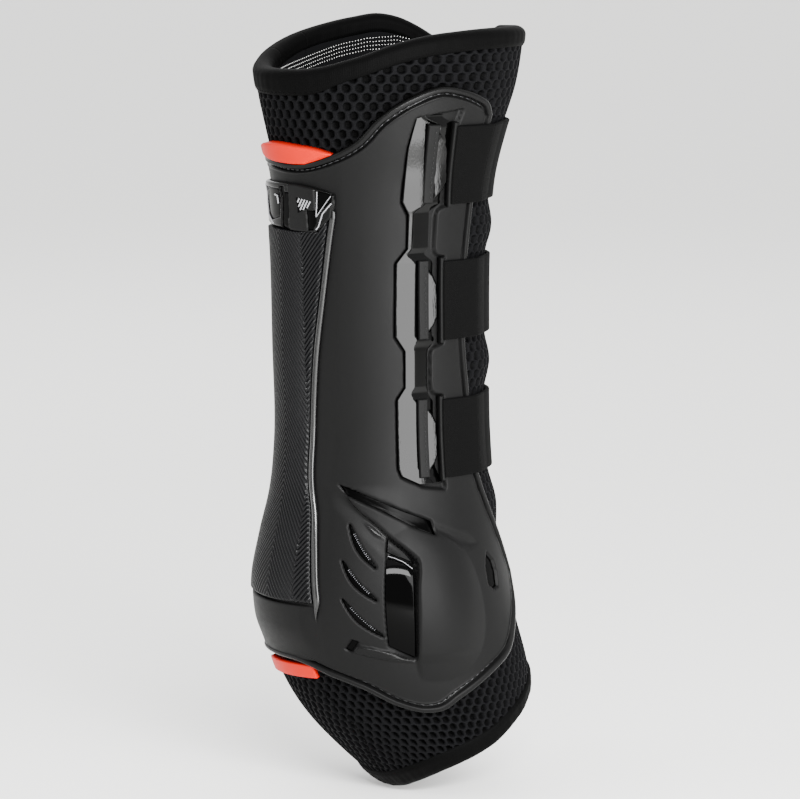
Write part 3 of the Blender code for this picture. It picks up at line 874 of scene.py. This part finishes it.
# Along the slits a punched screen shows the bare edges of its holes as pale specks
shade_sheet, _, _ = surface("perforated_film", "#626266", 0.35)
SHEET_THICK, SHEET_RINGS = 0.5, 7


def inlay(name, shape, out):
    """A thin pure black sheet of painted shade with a crisp outline, at a height or at a function giving it."""
    shape = np.array(shape, float)
    line = np.vstack([np.linspace(a, b, 9, endpoint=False) for a, b in zip(shape, np.roll(shape, -1, axis=0))])
    rings = np.linspace(1, 0.002, SHEET_RINGS)
    u, z = line.mean(0)[:, None, None] + (line - line.mean(0)).T[:, None] * rings[:, None]
    height = out(u, z) if callable(out) else out + 0 * u
    points = np.concatenate([on_body(u, z, height - SHEET_THICK)[::-1], on_body(u, z, height)]).reshape(-1, 3)
    at = np.arange(len(points)).reshape(2 * SHEET_RINGS, len(line))
    quads = np.stack([at[:-1], np.roll(at, -1, 1)[:-1], np.roll(at, -1, 1)[1:], at[1:]], -1).reshape(-1, 4)
    if np.sum(line[:, 0] * np.roll(line[:, 1], -1) - line[:, 1] * np.roll(line[:, 0], -1)) < 0:
        quads = quads[:, ::-1]
    return settle(new_object(name, points, quads, shade_sheet_finish, points), "inner_half")


def shell_floor(u, z):
    return SHELL_OUT + shell_swell(u, z) - 1.0


# Painted shade: pure black sheets fill the scoop, the shadow under the fold, the tear slot and the notch
for name, shape in (("scoop_shade_sheet", SCOOP), ("fold_shadow_sheet", SHADE), ("tear_shade_sheet", TEAR), ("notch_shade_sheet", NOTCH)):
    inlay(name, shape, shell_floor)
# Painted shade: a pure black sheet in each vent slit
for number, (start, end) in enumerate(SLITS):
    shape = slit_outline(start, end)
    inlay(f"slit_{number}_film", shape, shell_floor)
    line = smooth_line(np.array([start, (np.array(start) + end) / 2 + (-0.2, -0.2), end]), 40)[8:-6]
    for row, side in enumerate((0.3, -0.15)):
        seam(f"slit_{number}_holes_{row}", moved(line, side), SHELL_OUT - 0.6, "inner_half", shade_sheet,
             (0.4, 0.3), 0.35)

# ---------------------------------------------------------------- polished window
# A polished strip of the same polyurethane is bonded in the hollow between the fetlock cup and the vents. It curls
# inwards at its upper end, under a thin lip.

# Polyurethane from a mirror-finished mould: deep black with one bright curved line where it curls
glaze, _, _ = surface("polished_window_tpu", "#000000", 0.05, Specular_IOR_Level=0.04)
CURL_LONG, CURL_DEEP = 11.5, 2.1  # how far down the curl reaches, and how far it drops
window_left, window_right = smooth_line(WINDOW_LEFT, 60), smooth_line(WINDOW_RIGHT, 60)
t = spread(36, 0.5)
s = spread(7.6, 0.4, 0.8)
u, z = filled(np.array([window_left[0], window_right[0]]), np.array([window_left[-1], window_right[-1]]),
              window_left, window_right, s, t)
along = np.clip((window_left[-1, 1] - (z + 0.1 * (u - 69) + 0.02 * (u - 73) ** 2)) / CURL_LONG, 0, 1)
curl = CURL_DEEP * (1 - np.sin(along * math.pi / 2))
turned = 0.1 * (u - 73) * PER_DEGREE
window = slab("vent_window_glaze", u, z, 0.0, 2.2 - curl + turned, glaze)
settle(window, "inner_half", ("vent_window",))

# Painted highlights: pale grey hairlines that stand for light caught on sharp moulded edges
painted_highlight_grey, _, _ = surface("painted_highlight_hairline", "#77777a", 0.12)


def highlight_ribbon(name, points, half, out, thick):
    """A narrow raised line painted pale grey as a highlight, along (u, z) points."""
    points = np.array(points, float)
    line = np.vstack([np.linspace(a, b, 24, endpoint=False) for a, b in zip(points[:-1], points[1:])] + [points[-1:]])
    sides = np.stack([moved(line, way * half) for way in (1, 0.6, 0, -0.6, -1)], 1)
    drop = np.array([-0.5, -0.1, 0, -0.1, -0.5]) * thick
    u, z = np.moveaxis(sides[:, ::-1], -1, 0)
    obj = slab(name, u, z, out - thick, out + drop + 0 * u, painted_highlight_grey)
    return settle(obj, "inner_half")


# Painted highlight: a pale line along the window's upper lip
highlight_ribbon("window_lip_highlight", [(69.4, -96.6), (72.5, -97.4), (76.5, -98.9), (80.6, -101.6)], 0.12, 2.75, 0.6)

# ---------------------------------------------------------------- strap plate, anchor bars and slots
# A polished inlay runs beside the three straps, wide at each strap and narrow between. Each strap is sewn down
# under a matte bar and comes out through a slot with a thin matte rim.
# The centre's height, the slot's angle u, and by how many degrees the slot's top leans back
STRAPS = {"upper": (50.5, 105, 2.4), "middle": (-1.0, 103, 0.0), "lower": (-53.5, 102.3, 0.0)}
STRAP_HALF = 15.0
PLATE_OUT, FACET_WIDE = 2.1, 8.2
# The same mirror-finished polyurethane: each facet is black or pale by the way it faces
gloss, gloss_tree, gloss_shader = surface("polished_tpu", "#010101", 0.07, Specular_IOR_Level=0.12)
gloss_wave = add(gloss_tree, "ShaderNodeTexNoise", inputs={"Scale": 60.0, "Detail": 1.0})
bump(gloss_tree, gloss_shader, (gloss_wave, "Fac"), 0.15, 0.12)
plate_left, plate_right = np.array(PLATE_LEFT, float), np.array(PLATE_RIGHT, float)
z = np.linspace(-70.5, 69.5, 420)[None]
t = spread(18, 0.35, 1.0)[:, None]
left_u = np.interp(z, plate_left[:, 1], plate_left[:, 0])
right_u = np.interp(z, plate_right[:, 1], plate_right[:, 0])
u = left_u + (right_u - left_u) * t
z = z + 0 * u
in_left, in_right = (u - left_u) * PER_DEGREE, (right_u - u) * PER_DEGREE
# A long facet on the left, full width beside each strap, and a lens-shaped one between the bar and the slot
LENS_EDGE = [(0, 12.5), (4, 9.5), (6.4, 6), (6.8, -6), (4.5, -9.5), (0, -13)]
wide, lens = np.zeros_like(u), np.zeros_like(u)
for centre, slot_u, lean in STRAPS.values():
    wide = np.maximum(wide, 1 - ease(STRAP_HALF - 1, STRAP_HALF + 3.5, np.abs(z - centre)))
    edge = [(slot_u - 8.9 + a - lean * b / 30, centre + b) for a, b in LENS_EDGE]
    lens = np.maximum(lens, ease(-0.2, 0.1, depth_in(edge, u, z)))
neck = 1.6 + 2.6 * ease(5, -10, z)
beyond = in_left - (neck + (FACET_WIDE - neck) * wide)
sunk = 0.2 * ease(-0.1, 0.3, beyond) + 1.6 * np.clip(beyond / 9, 0, 1)
# The facets stand more upright than the flaring leg beside the upper strap
upright_by = np.interp(z, (14, 34, 70), (0, 0.9, -1.4)) * np.maximum(1 - ease(0, 1, beyond), lens)
relief = quarter(np.minimum(in_left, in_right), 0.4) - sunk * (1 - lens)
relief = relief + lens * (-0.9 + 0.15 * (u - 96) * PER_DEGREE) + upright_by
plate = slab("strap_inlay", u, z, 0.2, PLATE_OUT + relief, gloss)
settle(plate, "inner_half", ("strap_plate",))


def plaque(name, ends, heights, inner, outer, radius, finish, lean=0.0):
    """A plate with rounded edges between two angles and two heights; lean shifts its top by that many degrees."""
    (first, last), (low, high) = ends, heights
    s = spread((last - first) * PER_DEGREE, 0.5, radius * 1.2)[:, None]
    t = spread(high - low, 0.6, radius * 1.2)[None]
    z = low + (high - low) * t + 0 * s
    u = first + (last - first) * s - lean * (t - 0.5)
    inward = np.minimum(np.minimum(s, 1 - s) * (last - first) * PER_DEGREE, np.minimum(t, 1 - t) * (high - low))
    return slab(name, u, z, inner, outer + quarter(inward, radius), finish)


# Waxed thread, pulled in tight: a row of black dents along the bar
pitch_thread, _, _ = surface("waxed_thread", "#020202", 0.5, Specular_IOR_Level=0.2)
BAR_WIDE, BAR_OUT = 5.6, 3.1  # degrees, mm
SLOT_RIM_WIDE, SLOT_RIM_OUT = 2.0, 3.5
for name, (centre, slot_u, lean) in STRAPS.items():
    low, high = centre - STRAP_HALF, centre + STRAP_HALF
    bar = slot_u - 14.0 - (1.0 if name == "upper" else 0)
    bar_lean = lean * 0.3
    piece = plaque(f"{name}_bar", (bar, bar + BAR_WIDE), (low + 0.5, high + 0.5), 0.8, BAR_OUT, 0.5, shell_finish,
                   bar_lean)
    settle(piece, "inner_half", (f"{name}_anchor_bar",))
    piece = plaque(f"{name}_slot_rim", (slot_u - SLOT_RIM_WIDE, slot_u), (low - 1.2, high + 1.2), 0.8, SLOT_RIM_OUT,
                   0.4, shell_finish, lean)
    settle(piece, "inner_half", ())
    line = np.array([(bar + 3.6 + bar_lean / 2, low + 2), (bar + 3.6 - bar_lean / 2, high - 1)], float)
    seam(f"{name}_bar_seam", line, BAR_OUT - 0.05, "inner_half", pitch_thread, (1.0, 0.6), 0.9)

# ---------------------------------------------------------------- straps
# Woven elastic, 30 mm wide, comes out of its slot, lies over the front of the liner and closes on the outer side,
# where a hook pad under its end grips a loop patch on the shell. A moulded tab is welded on for the fingers.
STRAP_RISE = np.array([(100, 3.1), (126, 3.1), (140, 0.8), (188, 0.8), (203, 4.7), (300, 4.7)])  # height at each u
STRAP_THICK, STRAP_LIFT = 1.5, -0.4
STRAP_SPLIT, STRAP_BEND, STRAP_END = 126, 150, 268
# Woven polyester and rubber: dull black with a fine grid of cords
webbing, webbing_tree, webbing_shader = surface("woven_elastic", "#040404", 0.8, Specular_IOR_Level=0.03)
web_place = add(webbing_tree, "ShaderNodeAttribute", attribute_name="flat")
# Warp cords 0.6 mm apart lie along the strap, crossed by picks 0.8 mm apart
web_on = {"Vector": (web_place, "Vector")}
web_cord = add(webbing_tree, "ShaderNodeTexWave", web_on, {"Scale": 0.42}, bands_direction="Y")
web_pick = add(webbing_tree, "ShaderNodeTexWave", web_on, {"Scale": 0.36, "Distortion": 0.5}, bands_direction="X")
web_weave = add(
    webbing_tree, "ShaderNodeMath", {0: (web_cord, "Fac"), 1: (web_pick, "Fac")}, {2: 0.2}, operation="MULTIPLY_ADD"
)
bump(webbing_tree, webbing_shader, (web_weave, "Value"), 0.12, 0.6)
# Nylon hooks and loops: dull dark fuzz
hooks, hook_tree, hook_shader = surface("hook_and_loop_tape", "#0c0c0d", 0.95, Specular_IOR_Level=0.1)
hook_fuzz = add(hook_tree, "ShaderNodeTexNoise", inputs={"Scale": 1400.0, "Detail": 4.0})
bump(hook_tree, hook_shader, (hook_fuzz, "Fac"), 0.5, 0.8)


def strap_rise(u):
    return np.interp(u, STRAP_RISE[:, 0], STRAP_RISE[:, 1])


def band(name, first, last, half, centre, lift, thick, finish, lean=0.0, rounded_end=False, taper=0.0):
    """A flat band along the straps' path; taper narrows its free end by that share."""
    s = np.linspace(0, 1, max(3, round((last - first) * PER_DEGREE / 0.7)))[:, None]
    t = spread(2 * half, 0.7, 1.0)[None]
    z = centre + half * (2 * t - 1) * (1 - taper * ease(0.2, 1, s))
    u = first + (last - first) * s - lean * (t - 0.5) * (1 - s)
    inward = np.minimum(t, 1 - t) * 2 * half + 0 * s
    if rounded_end:
        inward = np.minimum(inward, (1 - s) * (last - first) * PER_DEGREE)
    drop = quarter(inward, min(0.5, thick / 2))
    inner = strap_rise(u) + lift
    return slab(name, u, z, inner - drop * 0.6, inner + thick + drop, finish)


LOOPS = (STRAP_END - 409.5, STRAP_END - 347.5)  # the loop patch's ends, on the outer half's side of the circle
for name, (centre, slot_u, lean) in STRAPS.items():
    strap, tail = f"{name}_strap", f"{name}_strap_tail"
    # The elastic is made in two lengths: from just inside its slot to the front, and from there to its end
    root = band(f"{name}_elastic_root", slot_u - 0.6, STRAP_SPLIT, STRAP_HALF, centre, STRAP_LIFT, STRAP_THICK,
                webbing, lean)
    settle(root, None, ())
    start, end = (on_body(slot_u + a, centre, 3.0) * MM for a in (-1.0, 12.0))
    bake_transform(root)
    elastic = band(f"{name}_elastic", STRAP_SPLIT, STRAP_END, STRAP_HALF, centre, STRAP_LIFT, STRAP_THICK, webbing,
                   rounded_end=True)
    settle(elastic, None, (f"{name}_strap", f"{name}_strap_end"))
    start, end = (on_body(STRAP_BEND + a, centre, 1.5) * MM for a in (-1, 16))
    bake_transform(elastic)
    pad = band(f"{name}_hooks", STRAP_END - 42, STRAP_END - 1, STRAP_HALF - 1.5, centre, -0.9, 0.5, hooks)
    settle(pad, tail, (f"{name}_hook_pad",))
    tab = band(f"{name}_finger_tab", STRAP_END - 4, STRAP_END + 11.5, STRAP_HALF - 3.0, centre, 0.9, 1.5,
               shell_finish, rounded_end=True, taper=0.45)
    settle(tab, tail, (f"{name}_pull_tab",))
    loops = plaque(f"{name}_loops", LOOPS, (centre - STRAP_HALF - 1, centre + STRAP_HALF + 1), 2.3, 3.3, 0.4, hooks)
    settle(loops, "outer_half", (f"{name}_loop_patch",))

# ---------------------------------------------------------------- strike strip
# A rubber strip with fine herringbone ribs protects the tendon. Polished edges hold it on the shell, a moulded clasp
# covers its top and a plain cap its lower end.
STRIP_TOP, STRIP_LOW = 31.0, -115.0
STRIP_EDGE = [
    (34, -115), (32, -102), (28, -82), (24, -70), (24, -52), (28, -20), (32, -2), (38, 24), (39.8, 31),
]
strip_line = smooth_line(STRIP_EDGE, 120)
APEX_U = 4.5  # the ribs meet a little to the inner side
RIB_PITCH, RIB_SLOPE = 1.3, 1.5  # mm across the ribs; drop for each mm outwards
SIDE_PITCH, SIDE_SLOPE = 2.1, 1.3  # the bolder ribs in the column along each edge
STRIP_OUT, STRIP_CROWN, RIB_HIGH = 3.3, 0.9, 0.7
UNDER_CLASP = 2.2  # how far the strip is sunk under the clasp
# Moulded rubber, matte from the tool: dark grey, with soft light along the ribs
ribbed, ribbed_tree, ribbed_shader = surface("moulded_rubber", "#070708", 0.32, Specular_IOR_Level=0.11)
ribbed_grain = add(ribbed_tree, "ShaderNodeTexNoise", inputs={"Scale": 2200.0, "Detail": 2.0})
bump(ribbed_tree, ribbed_shader, (ribbed_grain, "Fac"), 0.03, 0.3)


def strip_half(z):
    return np.interp(z, strip_line[:, 1], strip_line[:, 0])


z = np.linspace(STRIP_LOW, STRIP_TOP, 760)[None]
half = strip_half(z)
s = np.linspace(-1, 1, 231)[:, None]
u = s * half
z = z + 0 * u
phase = (z + RIB_SLOPE * np.abs(u - APEX_U + 0.03 * z) * PER_DEGREE) / (RIB_PITCH * math.sqrt(1 + RIB_SLOPE**2))
wave = np.abs((phase % 1) - 0.5) * 2
side_wave = np.abs(((z - SIDE_SLOPE * np.abs(u) * PER_DEGREE) / SIDE_PITCH % 1) - 0.5) * 2
column = ease(23.2, 23.8, np.abs(u) + 0.012 * (z + 45))
ribs = ease(0.25, 0.7, wave) * (1 - column) + 1.2 * ease(0.35, 0.6, side_wave) * column
inward = np.minimum((half - np.abs(u)) * PER_DEGREE, np.minimum(z - STRIP_LOW, STRIP_TOP - z))
crown = STRIP_CROWN * (1 - (np.abs(u) / half) ** 2) - UNDER_CLASP * ease(25, 26, z) * ease(34, 33, np.abs(u))
height = STRIP_OUT + crown + RIB_HIGH * ribs * ease(0.2, 0.9, inward) + quarter(inward, 0.6)
settle(slab("ribbed_strip", u, z, 2.4, height, ribbed), "inner_half", ("strike_strip",))

# Polished polyurethane: thin bright lines down both edges
trim_finish, _, _ = surface("polished_trim_tpu", "#050505", 0.12, Specular_IOR_Level=0.4)
TRIM_LOW, TRIM_TOP, TRIM_OUT, TRIM_WIDE = -122.5, 33.5, 3.9, 3.4  # its width in degrees


def strip_trim(name, way, node):
    """The polished edge: a double bead that runs out in a point below."""
    z = np.linspace(TRIM_LOW, TRIM_TOP, 440)[None]
    s = spread(2.6, 0.25, 0.5)[:, None]
    width = TRIM_WIDE * ease(-123, -112, z) + 0.15
    u = strip_half(np.maximum(z, STRIP_LOW)) + 0.6 + width * s
    z = z + 0 * u
    bead = quarter(s * width * PER_DEGREE, 1.1) + quarter((1 - s) * width * PER_DEGREE, 1.1)
    out = TRIM_OUT + bead - 0.3 * (1 - ease(0.08, 0.2, np.abs(s - 0.35)))
    if way < 0:
        u, z, out = -u[::-1], z[::-1], out[::-1]
    settle(slab(name, u, z, 2.2, out, trim_finish), "inner_half", (node,))


strip_trim("inner_trim", 1, "near_strip_trim")
strip_trim("outer_trim", -1, "far_strip_trim")

# The clasp's face is matte with polished shoulders, and its openings are lined with painted shade, a pure black sheet
CLASP_OUT = 5.0
CLASP_WINDOW = [(-22, 40.8), (-8, 41.2), (6, 41.2), (7.2, 37.5), (5, 30), (-8, 28.2), (-16, 31)]
CLASP_SLOT = [
    (6.8, 42.2), (11, 42.4), (11, 40), (15.8, 40), (15, 30.5), (13.2, 30.3), (13, 25), (6.5, 26.5), (8.4, 37.5),
]
CLASP_NOTCH = [(21, 38.6), (31, 37.2), (29, 34.5), (22, 32.6)]
CLASP_RECESS = [(27.5, 33.6), (33.4, 33.6), (33.2, 29), (31.5, 26.2), (28, 26)]
CLASP_VEE = [(34.6, 41.2), (42.4, 40.0), (42.2, 37.4), (33.6, 31.8)]
# Each opening, its depth, and how much deeper its sheet of painted shade lies
CLASP_HOLLOWS = (
    (CLASP_WINDOW, 0.4, 0.7),
    (CLASP_SLOT, 1.2, 0),
    (CLASP_NOTCH, 0.2, 0),
    (CLASP_RECESS, 0.7, 0),
    (CLASP_VEE, 0.6, 0.7),
)
clasp_low = np.array([(-43, 27), (-9, 26.4), (6, 26), (20, 25.4), (32.5, 25.2), (36, 27), (41.5, 31)], float)
clasp_top = np.array([(-43, 42.5), (-5, 43.4), (10, 43.6), (22, 43.4), (30, 42.6), (38, 41.3), (43.8, 39.6)], float)
s = spread(60, 0.3)
t = spread(17, 0.3)
clasp_end, clasp_tip = np.array([clasp_low[0], clasp_top[0]]), np.array([(41.5, 31), (43.4, 35), (43.8, 39.6)])
u, z = filled(clasp_low, clasp_top, clasp_end, clasp_tip, s, t)
inward = depth_in(np.vstack([clasp_low, clasp_top[::-1]]), u, z)
sides = ease(15.5, 14.5, u) + ease(32.0, 33.5, u)
height = CLASP_OUT + quarter(np.maximum(inward, 0), 0.9) - 0.7 * sides
for shape, deep, _ in CLASP_HOLLOWS:
    height = height - (deep + 0.4) * ease(-0.15, 0.1, depth_in(shape, u, z))
clasp = slab("strip_clasp_bridge", u, z, 2.4, height, shell_finish)
mark(clasp, "polish", np.clip(sides, 0, 1))
settle(clasp, "inner_half", ("strip_clasp",))
# Painted shade: a pure black sheet lines each of the clasp's openings
for number, (shape, deep, more) in enumerate(CLASP_HOLLOWS):
    inlay(f"clasp_shade_sheet_{number}", shape, CLASP_OUT - 0.05 - deep - more)
# Painted highlights: pale lines along the edges of the clasp's openings, and on the hatching in its small notch
for number, (half, points) in enumerate((
    (0.14, [(34.4, 41.0), (33.2, 31.2), (42, 39.4)]),
    (0.24, [(32.6, 26.2), (34.5, 27.6), (37, 32.5), (42.2, 36.6)]),
    (0.4, [(-19, 41.6), (-15, 39), (-18, 34.5), (-15, 30), (-4, 27)]),
    (0.35, [(0.5, 38.6), (3.6, 38.2), (4.2, 35.2)]),
)):
    highlight_ribbon(f"clasp_highlight_{number}", points, half, CLASP_OUT - 0.5, 0.4)
for number, points in enumerate((
    [(23.4, 38.2), (22.0, 36.6)],
    [(25.2, 38.0), (22.6, 34.9)],
    [(27.0, 37.8), (23.6, 33.7)],
    [(28.7, 37.5), (25.6, 33.8)],
    [(30.4, 37.2), (28.2, 34.6)],
)):
    highlight_ribbon(f"clasp_hatch_highlight_{number}", points, 0.3, CLASP_OUT - 0.05, 0.3)

# The cap at the strip's lower end melts into the shell below
CAP_HALF, CAP_LOW, CAP_TOP = 36.5, -137.0, -115.8
s = spread(44, 0.5)[:, None]
t = spread(22, 0.5)[None]
z = CAP_LOW + (CAP_TOP - CAP_LOW) * t + 0 * s
u = CAP_HALF * (2 * s - 1) + 0 * z
swell = 1.5 * ease(0, 7, np.minimum(s, 1 - s) * 50) * ease(CAP_LOW, -124, z)
cap = slab("strip_end_cap", u, z, 2.3, 2.4 + swell + quarter(CAP_TOP - z, 0.8), shell_finish)
settle(cap, "inner_half", ("heel_cap",))

# ---------------------------------------------------------------- orange badges
# Two satin orange plastic pieces: a lens-shaped badge in the dip of the shell's upper edge, its right tip cut to a
# facet, and a small sewn-in tag below the shell's lower edge. Both are left plain.
# Dyed polyurethane, satin from its mould: strong orange-red with a soft light and no hard shine
orange, orange_tree, orange_shader = surface("orange_plastic", "#a81000", 0.42, Specular_IOR_Level=0.06)
orange_shader.inputs["Subsurface Weight"].default_value = 0.05
orange_shader.inputs["Subsurface Radius"].default_value = (0.002, 0.001, 0.0005)
orange_grain = add(orange_tree, "ShaderNodeTexNoise", inputs={"Scale": 1800.0, "Detail": 2.0})
bump(orange_tree, orange_shader, (orange_grain, "Fac"), 0.03, 0.25)
BADGE_LOW = [(-24, 54.5), (-14, 52.8), (-2, 51.8), (9, 51.2), (20, 51.0), (30, 51.4), (36.5, 52.6), (43.5, 54.4)]
BADGE_TOP = [(-24, 55.8), (-12, 57.6), (0, 58.3), (8, 58.4), (22, 57.8), (33, 57.0), (38, 56.2), (43.5, 54.9)]
badge_low, badge_top = smooth_line(BADGE_LOW, 80), smooth_line(BADGE_TOP, 80)
s, t = spread(40, 0.4, 0.8), spread(8, 0.3, 0.8)


def badge(name, low, top, inner, outer, radius, node, facet=None):
    """An orange piece between two edge lines with rounded edges, sloping down to the facet line if it has one."""
    u, z = filled(low, top, side_edge(low, top, 0), side_edge(low, top, -1), s, t)
    inward = depth_in(np.vstack([low, top[::-1]]), u, z)
    height = outer + quarter(np.maximum(inward, 0), radius)
    if facet:
        height = height - 1.3 * ease(2.4, 0.4, away_from(facet, u, z))
    settle(slab(name, u, z, inner, height, orange), "inner_half", (node,))


badge("shell_badge", badge_low, badge_top, -0.4, 3.3, 0.7, "top_badge", [(30, 50.3), (43.5, 54.2)])
tag_low, tag_top = np.array([(-15, -146.4), (27, -144.6)]), np.array([(-15, -141.0), (27, -139.6)])
badge("hem_tag", tag_low, tag_top, -0.3, 1.9, 0.5, "lower_tag")
